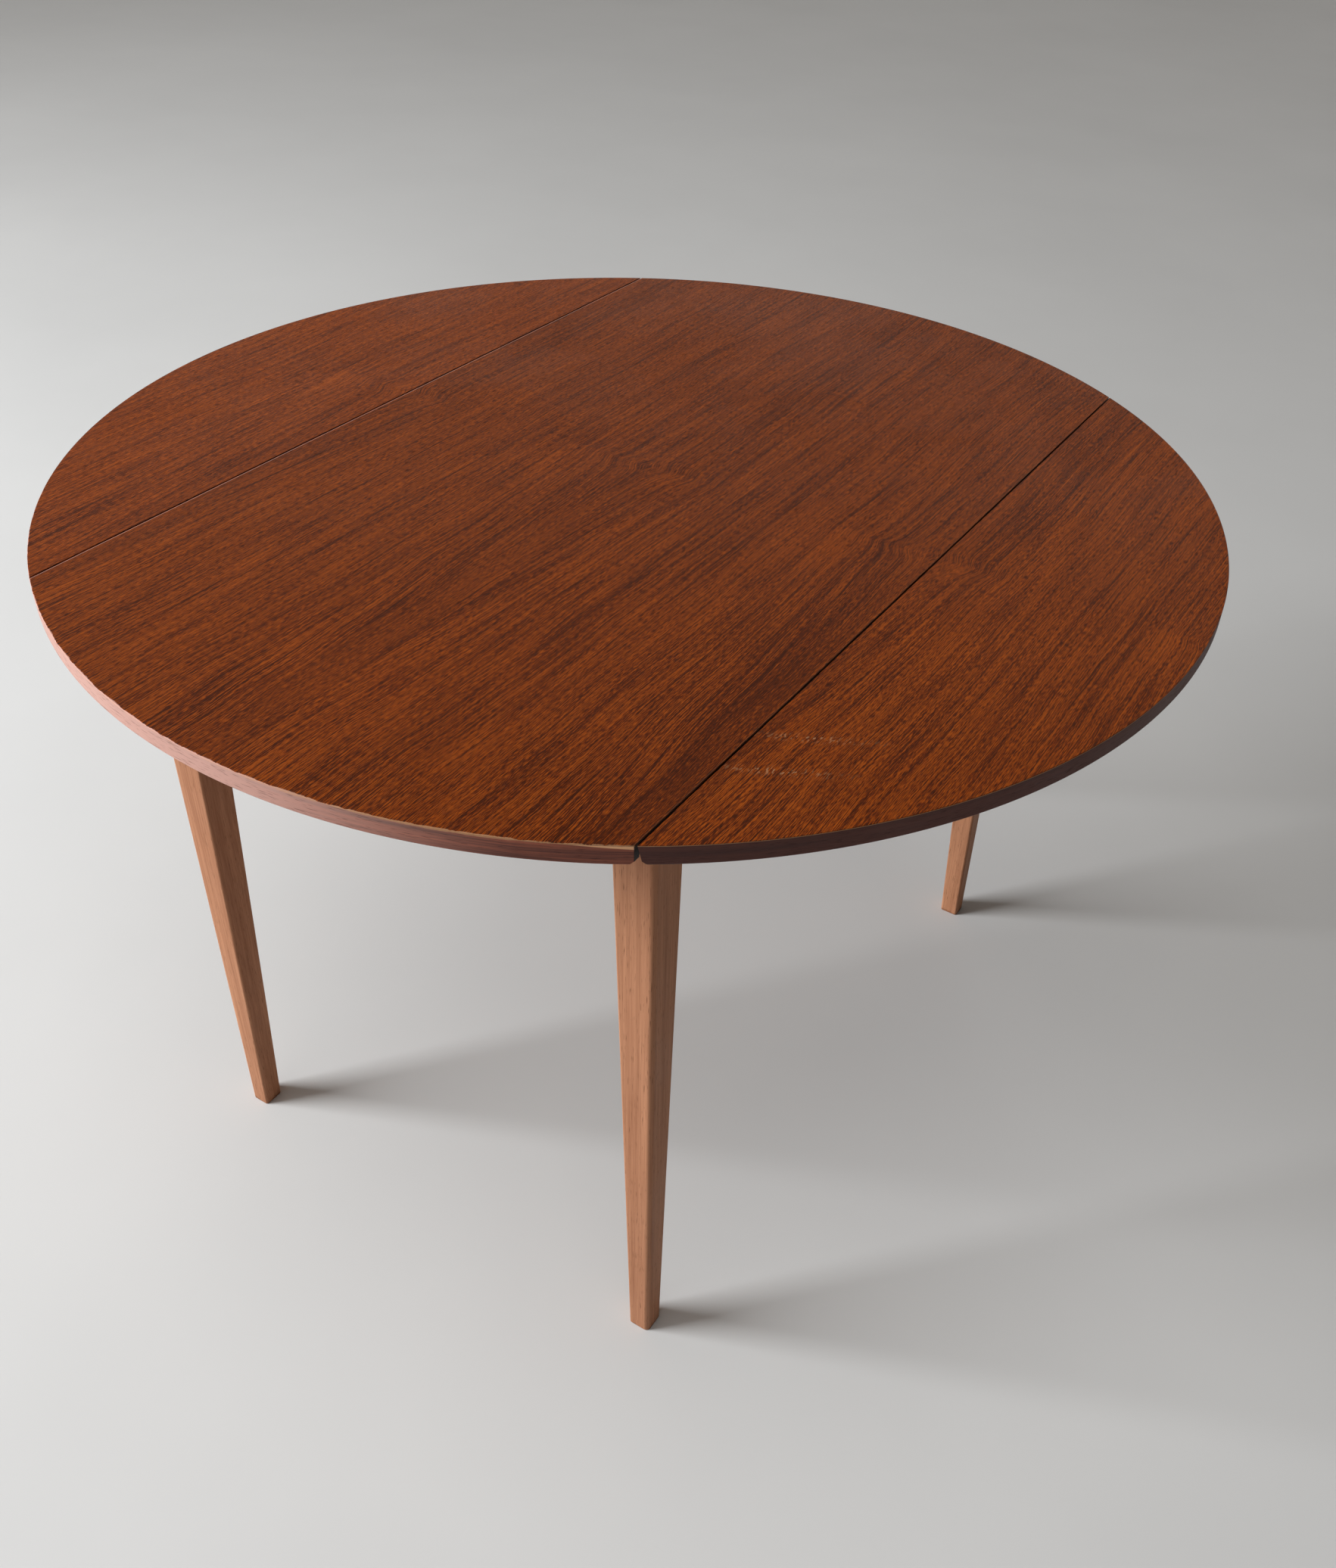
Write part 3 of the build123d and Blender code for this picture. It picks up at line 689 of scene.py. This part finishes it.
def upper_edges(bm, height):
    """Edges round the flat upper face at a height."""
    return [
        edge
        for edge in bm.edges
        if all(abs(vert.co.z - height) < PICKED for vert in edge.verts)
        and any(abs(face.normal.z) < LEVEL for face in edge.link_faces)
    ]


def whole_round(radius, low, high):
    """Disc with a thickness."""
    bm = bmesh.new()
    place = Matrix.Translation((0, 0, low))
    bmesh.ops.create_circle(bm, cap_ends=True, segments=RIM_STEPS, radius=radius, matrix=place)
    extrude(bm, bm.faces[:], high - low)
    clean(bm)
    return bm


def whole_ring(inner, outer, low, high, lower_round):
    """Ring with a rectangular section, whose lower outer edge is rounded."""
    bm = bmesh.new()
    section = ((inner, 0, low), (outer, 0, low), (outer, 0, high), (inner, 0, high))
    corners = [bm.verts.new(place) for place in section]
    edges = [bm.edges.new((corners[step - 1], corners[step])) for step in range(len(corners))]
    bmesh.ops.spin(
        bm, geom=corners + edges, cent=(0, 0, 0), axis=(0, 0, 1), angle=2 * pi, steps=RIM_STEPS,
        use_merge=True,
    )
    clean(bm)
    middle = (inner + outer) / 2
    lower = [
        edge
        for edge in bm.edges
        if all(abs(vert.co.z - low) < PICKED and vert.co.xy.length > middle for vert in edge.verts)
    ]
    round_over(bm, lower, lower_round, segments=4)
    return bm


def trim_centre(bm, chamfer):
    """Keep what lies between the two joints, with a chamfer under each."""
    for side in (1, -1):
        edge = PANEL_EDGE * side
        trim(bm, (edge, 0, 0), (side, 0, 0))
        trim(bm, (edge, 0, UNDERSIDE + chamfer), (side, 0, -1))


def trim_leaf(bm, looks, side, chamfer):
    """Keep one leaf, with its sloping joint edge and a chamfer under it."""
    slope = TABLE_TOP - UNDERSIDE - looks.groove
    trim(bm, (LEAF_EDGE * side, 0, TABLE_TOP), (-slope * side, 0, -looks.undercut))
    waist = (LEAF_EDGE + looks.undercut * (TABLE_TOP - UNDERSIDE - chamfer) / slope) * side
    trim(bm, (waist, 0, UNDERSIDE + chamfer), (-side, 0, -1))


def to_mesh(bm, name):
    """A mesh of a bmesh that has done its work."""
    mesh = bpy.data.meshes.new(name)
    bm.to_mesh(mesh)
    bm.free()
    return mesh


def add_object(name, data):
    """A new object in the scene."""
    thing = bpy.data.objects.new(name, data)
    bpy.context.scene.collection.objects.link(thing)
    return thing


def add_piece(bm, name, body, material, nodes):
    """Make an object of a bmesh, in place of its CAD nodes and on their body."""
    clean(bm)
    mesh = to_mesh(bm, name)
    if not mesh.polygons:
        raise RuntimeError(f"{name} has no faces")
    mesh.shade_smooth()
    mesh.set_sharp_from_angle(angle=SHARP_TURN)
    mesh.materials.append(material)
    piece = add_object(name, mesh)
    modifier = piece.modifiers.new("flat faces stay flat", "WEIGHTED_NORMAL")
    modifier.keep_sharp = True
    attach(piece, body)
    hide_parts(*nodes)


def paint_node(node, material):
    """Give a CAD node its finish."""
    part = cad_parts[node]
    if not part.material_slots:
        part.data.materials.append(material)
    for place in part.material_slots:
        place.material = material


class TABLE_OT_veneer(bpy.types.Operator):
    """Lay the face veneer on the centre panel and the leaves"""

    bl_idname = "drop_leaf.veneer"
    bl_label = "Lay veneer"

    def execute(self, context):
        looks = context.scene.table_top
        finish = veneer_finish(looks)
        for name, side in (("centre", 0), *LEAVES):
            bm = whole_round(TOP_RADIUS, BOARD_TOP, TABLE_TOP)
            if side:
                trim_leaf(bm, looks, side, looks.groove)
            else:
                trim_centre(bm, looks.groove)
            bm.normal_update()
            round_over(bm, upper_edges(bm, TABLE_TOP), looks.edge_round, segments=3)
            body = name if side else "table_frame"
            add_piece(bm, f"{name}_face", body, finish, [f"{name}_veneer"])
        return {"FINISHED"}


class TABLE_OT_lipping(bpy.types.Operator):
    """Put the solid strips round the rim"""

    bl_idname = "drop_leaf.lipping"
    bl_label = "Fit rim strips"

    def execute(self, context):
        looks = context.scene.table_top
        finish = lipping_finish(looks)
        for name, side in (("front", -1), ("back", 1)):
            bm = whole_ring(BOARD_RADIUS, TOP_RADIUS, UNDERSIDE, BOARD_TOP, looks.rim_round)
            trim(bm, (0, 0, 0), (0, -side, 0))
            trim_centre(bm, looks.notch)
            nodes = [f"centre_lipping_{name}"]
            add_piece(bm, f"rim_strip_{name}", "table_frame", finish, nodes)
        for name, side in LEAVES:
            bm = whole_ring(BOARD_RADIUS, TOP_RADIUS, UNDERSIDE, BOARD_TOP, looks.rim_round)
            trim_leaf(bm, looks, side, looks.notch)
            add_piece(bm, f"rim_strip_{name}", name, finish, [f"{name}_lipping"])
        return {"FINISHED"}


class TABLE_OT_boards(bpy.types.Operator):
    """Finish the boards under the veneer"""

    bl_idname = "drop_leaf.boards"
    bl_label = "Finish boards"

    def execute(self, context):
        looks = context.scene.table_top
        dark = shade(looks.backing, 0.62)
        finish = timber_finish(
            "backing_veneer", "XYZ", looks.backing, dark, bands=0.8, matt=0.55, shaded_joints=True
        )
        for node in ("centre_panel", "right_leaf_panel", "left_leaf_panel"):
            paint_node(node, finish)
        return {"FINISHED"}


class TABLE_OT_legs(bpy.types.Operator):
    """Shape the four tapered legs"""

    bl_idname = "drop_leaf.legs"
    bl_label = "Shape legs"

    # An upright edge rises more than this, and one to be rounded turns more than this
    upright_rise = 0.02
    corner_turn = radians(60)

    def execute(self, context):
        looks = context.scene.table_frame
        finish = timber_finish(
            "leg_timber", "XZY", looks.wood, looks.wood_dark, bands=1.3, matt=0.42, dark_feet=True
        )
        for corner, x_side, y_side in CORNERS:
            bm = self.leg(looks)
            bmesh.ops.scale(bm, vec=(x_side, y_side, 1), verts=bm.verts[:])
            add_piece(bm, f"tapered_leg_{corner}", "table_frame", finish, [f"leg_{corner}"])
        return {"FINISHED"}

    def leg(self, looks):
        """The right back leg: a square head, tapered below it towards its outer corner."""
        corner = Vector((LEG_HIGH.x, LEG_HIGH.y, 0))
        head = looks.leg_head
        taper_top = RAIL_LOW.z - looks.taper_drop
        bm = bmesh.new()
        bmesh.ops.create_cube(bm, size=1.0)
        bmesh.ops.scale(bm, vec=(head, head, taper_top), verts=bm.verts[:])
        bmesh.ops.translate(bm, vec=corner + Vector((-head, -head, taper_top)) / 2, verts=bm.verts[:])
        sole = [vert for vert in bm.verts if vert.co.z < taper_top / 2]
        narrow = looks.leg_foot / head
        bmesh.ops.scale(bm, vec=(narrow, narrow, 1), space=Matrix.Translation(-corner), verts=sole)
        cap = [face for face in bm.faces if face.calc_center_median().z > taper_top - PICKED]
        extrude(bm, cap, UNDERSIDE - taper_top)
        self.round_edges(bm, corner, looks.outer_round, segments=8, outer=True)
        self.round_edges(bm, corner, looks.inner_round, segments=4, outer=False)
        sole_edges = [edge for edge in bm.edges if all(vert.co.z < PICKED for vert in edge.verts)]
        round_over(bm, sole_edges, looks.foot_ease, segments=2)
        return bm

    def round_edges(self, bm, corner, radius, segments, outer):
        """Round the upright edge at the outer corner, or the sharp ones that are left."""
        chosen = []
        for edge in bm.edges:
            upright = abs(edge.verts[0].co.z - edge.verts[1].co.z) > self.upright_rise
            at_corner = all((vert.co - corner).xy.length < PICKED for vert in edge.verts)
            sharp = edge.calc_face_angle(0.0) > self.corner_turn
            if upright and sharp and at_corner == outer:
                chosen.append(edge)
        round_over(bm, chosen, radius, segments)


class TABLE_OT_rails(bpy.types.Operator):
    """Finish the rails and the corner blocks"""

    bl_idname = "drop_leaf.rails"
    bl_label = "Finish rails"

    # Each pair of rails, the axes of its grain, and where the two are
    pairs = (("side_rail", "XYZ", ("right", "left")), ("end_rail", "YXZ", ("back", "front")))

    def execute(self, context):
        looks = context.scene.table_frame
        for rail, axes, ends in self.pairs:
            finish = timber_finish(f"{rail}_timber", axes, looks.wood, looks.wood_dark, bands=1.1, matt=0.46)
            for end in ends:
                paint_node(f"{rail}_{end}", finish)
        dark = shade(looks.block, 0.7)
        finish = timber_finish("block_timber", "XZY", looks.block, dark, bands=1.6, matt=0.6)
        for corner, _, _ in CORNERS:
            paint_node(f"corner_block_{corner}", finish)
        return {"FINISHED"}


class TABLE_OT_hinges(bpy.types.Operator):
    """Finish the hinges of the leaves"""

    bl_idname = "drop_leaf.hinges"
    bl_label = "Finish hinges"

    def execute(self, context):
        looks = context.scene.table_fittings
        brass = metal_finish("dull_brass", looks.brass, looks.tarnish, roughness=0.32, cover=0.45)
        for side in ("right", "left"):
            for part in ("hinge_fixed_flaps", "hinge_leaf_flaps", "hinge_pins"):
                paint_node(f"{side}_{part}", brass)
        return {"FINISHED"}


class TABLE_OT_stays(bpy.types.Operator):
    """Finish the folding stays"""

    bl_idname = "drop_leaf.stays"
    bl_label = "Finish stays"

    def execute(self, context):
        looks = context.scene.table_fittings
        zinc = metal_finish("bright_zinc", looks.zinc, looks.tarnish, roughness=0.30, cover=0.25)
        nodes = ["stay_rail_plates", "stay_pivot_pins", "right_stay_brackets", "left_stay_brackets"]
        for corner, _, _ in CORNERS:
            nodes += [f"stay_strut_{corner}", f"stay_slot_pin_{corner}"]
        for node in nodes:
            paint_node(node, zinc)
        return {"FINISHED"}


class TABLE_OT_screws(bpy.types.Operator):
    """Drive the slotted screws of the hinges, stays and blocks"""

    bl_idname = "drop_leaf.screws"
    bl_label = "Drive screws"

    bodies = {
        "corner_block_screws": "table_frame",
        "top_fixing_screws": "table_frame",
        "hinge_fixed_screws": "table_frame",
        "stay_plate_screws": "table_frame",
        "right_hinge_leaf_screws": "right_leaf",
        "left_hinge_leaf_screws": "left_leaf",
        "right_stay_bracket_screws": "right_leaf",
        "left_stay_bracket_screws": "left_leaf",
    }

    # A CAD screw has this many sides, and its head is an end with more than this area
    cad_sides = 8
    cad_head_area = 2e-5

    # Sizes of a slotted screw. The slot is cut in faces within its reach, and is turned on from the last one
    sides = 20
    head_radius = 0.0034
    shank_radius = 0.0017
    head_depth = 0.0017
    head_rim = 0.0004
    slot_half_width = 0.0004
    slot_depth = 0.0005
    slot_reach = 0.0026
    slot_turn = 2.4

    def execute(self, context):
        looks = context.scene.table_fittings
        steel = metal_finish("plain_steel", looks.steel, looks.tarnish, roughness=0.34, cover=0.35)
        for node, body in self.bodies.items():
            bm = bmesh.new()
            for count, (seat, outward, length) in enumerate(self.seats(node)):
                self.drive(bm, seat, outward, length, self.slot_turn * count)
            add_piece(bm, f"slotted_{node}", body, steel, [node])
        return {"FINISHED"}

    def seats(self, node):
        """Middle of each screw head of a CAD node, its outward direction and the screw's length."""
        bm = bmesh.new()
        bm.from_mesh(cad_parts[node].data)
        bmesh.ops.remove_doubles(bm, verts=bm.verts[:], dist=MERGED)
        bmesh.ops.dissolve_limit(bm, angle_limit=radians(2), verts=bm.verts[:], edges=bm.edges[:])
        bm.normal_update()
        caps = [face for face in bm.faces if len(face.verts) == self.cad_sides]
        heads = [face for face in caps if face.calc_area() > self.cad_head_area]
        tips = [face.calc_center_median() for face in caps if face.calc_area() < self.cad_head_area]
        found = []
        for face in heads:
            seat = face.calc_center_median()
            length = min((seat - tip).length for tip in tips)
            found.append((seat, face.normal.copy(), length))
        bm.free()
        if not found:
            raise RuntimeError(f"{node} shows no screw heads")
        return found

    def drive(self, bm, seat, outward, length, turn):
        """One countersunk screw, with its slot turned."""
        screw = bmesh.new()
        bmesh.ops.create_cone(
            screw, cap_ends=True, segments=self.sides, radius1=self.shank_radius, radius2=self.head_radius,
            depth=self.head_depth, matrix=Matrix.Translation((0, 0, -self.head_depth / 2)),
        )
        screw.normal_update()
        low = [face for face in screw.faces if face.normal.z < -LEVEL]
        extrude(screw, low, self.head_depth - length)
        screw.normal_update()
        bmesh.ops.inset_region(screw, faces=self.upper_faces(screw), thickness=self.head_rim)
        for edge in (self.slot_half_width, -self.slot_half_width):
            upper = self.upper_faces(screw)
            cap = [face for face in upper if face.calc_center_median().xy.length < self.slot_reach]
            parts = dict.fromkeys(part for face in cap for part in (face, *face.edges, *face.verts))
            bmesh.ops.bisect_plane(screw, geom=list(parts), plane_co=(edge, 0, 0), plane_no=(1, 0, 0))
        widest = self.slot_half_width + PICKED
        slot = [
            face
            for face in self.upper_faces(screw)
            if all(abs(vert.co.x) < widest for vert in face.verts)
        ]
        extrude(screw, slot, -self.slot_depth)
        aim = outward.to_track_quat("Z", "Y").to_matrix().to_4x4()
        place = Matrix.Translation(seat) @ aim @ Matrix.Rotation(turn, 4, "Z")
        bmesh.ops.transform(screw, matrix=place, verts=screw.verts[:])
        mesh = to_mesh(screw, "screw")
        bm.from_mesh(mesh)
        bpy.data.meshes.remove(mesh)

    def upper_faces(self, screw):
        """Level faces that face up."""
        return [face for face in screw.faces if face.normal.z > LEVEL]


class TABLE_OT_stage(bpy.types.Operator):
    """Lay the floor, light it and set the camera"""

    bl_idname = "drop_leaf.stage"
    bl_label = "Set stage"

    def execute(self, context):
        scene = context.scene
        looks = scene.table_stage
        self.lay_floor(looks)
        self.surround(scene, looks)
        aim = (WINDOW_TARGET - WINDOW_PLACE).to_track_quat("-Z", "Y").to_matrix().to_4x4()
        place = Matrix.Translation(WINDOW_PLACE) @ aim
        window = self.lamp("window_light", "AREA", looks.key_power, WINDOW_COLOUR, place)
        window.shape = "RECTANGLE"
        window.size, window.size_y = WINDOW_SIZE
        aim = CEILING_DIRECTION.to_track_quat("Z", "Y").to_matrix().to_4x4()
        ceiling = self.lamp("ceiling_light", "SUN", looks.fill_power, CEILING_COLOUR, aim)
        ceiling.angle = CEILING_SPREAD
        self.set_camera(scene, looks)
        scene.view_settings.view_transform = "Standard"
        return {"FINISHED"}

    def lay_floor(self, looks):
        """A plain pale floor with faint clouds."""
        bm = bmesh.new()
        bmesh.ops.create_circle(bm, cap_ends=True, segments=FLOOR_STEPS, radius=FLOOR_RADIUS)
        mesh = to_mesh(bm, "pale_floor")
        floor = add_object("pale_floor", mesh)
        material, bench, shader = new_material("floor_paint")
        clouds = bench.noise(bench.place(), detail=4.0, roughness=0.6)
        colour = bench.ramp(clouds, [(0.3, shade(looks.floor, 0.97)), (0.7, shade(looks.floor, 1.03))])
        bench.feed(shader["Base Color"], colour)
        shader["Roughness"].default_value = 0.75
        mesh.materials.append(material)

    def surround(self, scene, looks):
        """Soft light from all round, brighter low down than overhead, and a pale background."""
        world = bpy.data.worlds.new("studio")
        world.use_nodes = True
        bench = Bench(world.node_tree)
        direction = bench.add("ShaderNodeTexCoord").outputs["Generated"]
        level = bench.remap(bench.split(direction)["Z"], *GLOW_HEIGHTS)
        glow = bench.cover(opaque(looks.surround), level, looks.overhead)
        side = bench.add("ShaderNodeVectorMath", {0: direction, 1: GLOW_SIDE}, operation="DOT_PRODUCT")
        side_level = bench.remap(side.outputs["Value"], -0.3, 0.9, *GLOW_LEVELS)
        glow = bench.mix(1.0, glow, side_level, "MULTIPLY")
        seen = bench.add("ShaderNodeLightPath").outputs["Is Camera Ray"]
        colour = bench.cover(glow, seen, looks.background)
        bench.feed(world.node_tree.nodes["Background"].inputs["Color"], colour)
        scene.world = world

    def lamp(self, name, kind, power, colour, place):
        """A lamp of a kind, set and turned by a matrix."""
        light = bpy.data.lights.new(name, kind)
        light.energy = power
        light.color = colour
        add_object(name, light).matrix_world = place
        return light

    def set_camera(self, scene, looks):
        """The camera, with its own axes as they were fitted."""
        camera = bpy.data.cameras.new("camera")
        camera.sensor_width = SENSOR_WIDTH
        camera.lens = looks.lens
        camera.shift_x, camera.shift_y = CAMERA_SHIFT
        camera.clip_start = 0.05
        viewer = add_object("camera", camera)
        right = Vector(CAMERA_RIGHT).normalized()
        back = Vector(CAMERA_BACK).normalized()
        up = back.cross(right).normalized()
        turn = Matrix((right, up, back)).transposed().to_4x4()
        viewer.matrix_world = Matrix.Translation(CAMERA_PLACE) @ turn
        scene.camera = viewer


class TABLE_PT_panel(bpy.types.Panel):
    """Steps that dress the table"""

    bl_idname = "TABLE_PT_panel"
    bl_label = "Drop leaf table"
    bl_space_type = "VIEW_3D"
    bl_region_type = "UI"
    bl_category = "Table"

    def draw(self, context):
        for operator in OPERATORS:
            self.layout.operator(operator.bl_idname)
        for name in SETTINGS:
            box = self.layout.box()
            looks = getattr(context.scene, name)
            for label in looks.__annotations__:
                box.prop(looks, label)


SETTINGS = {
    "table_top": TopLooks,
    "table_frame": FrameLooks,
    "table_fittings": FittingLooks,
    "table_stage": StageLooks,
}
OPERATORS = (
    TABLE_OT_veneer, TABLE_OT_lipping, TABLE_OT_boards, TABLE_OT_legs, TABLE_OT_rails,
    TABLE_OT_hinges, TABLE_OT_stays, TABLE_OT_screws, TABLE_OT_stage,
)


def register():
    """Register the settings, operators and panel."""
    for cls in (*SETTINGS.values(), *OPERATORS, TABLE_PT_panel):
        bpy.utils.register_class(cls)
    for name, cls in SETTINGS.items():
        setattr(bpy.types.Scene, name, bpy.props.PointerProperty(type=cls))


def unregister():
    """Remove the settings, operators and panel."""
    for name in SETTINGS:
        delattr(bpy.types.Scene, name)
    for cls in reversed((*SETTINGS.values(), *OPERATORS, TABLE_PT_panel)):
        bpy.utils.unregister_class(cls)


def main():
    """Dress the table."""
    register()
    bpy.ops.drop_leaf.veneer()
    bpy.ops.drop_leaf.lipping()
    bpy.ops.drop_leaf.boards()
    bpy.ops.drop_leaf.legs()
    bpy.ops.drop_leaf.rails()
    bpy.ops.drop_leaf.hinges()
    bpy.ops.drop_leaf.stays()
    bpy.ops.drop_leaf.screws()
    bpy.ops.drop_leaf.stage()
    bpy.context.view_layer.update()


if __name__ == "__main__":
    main()
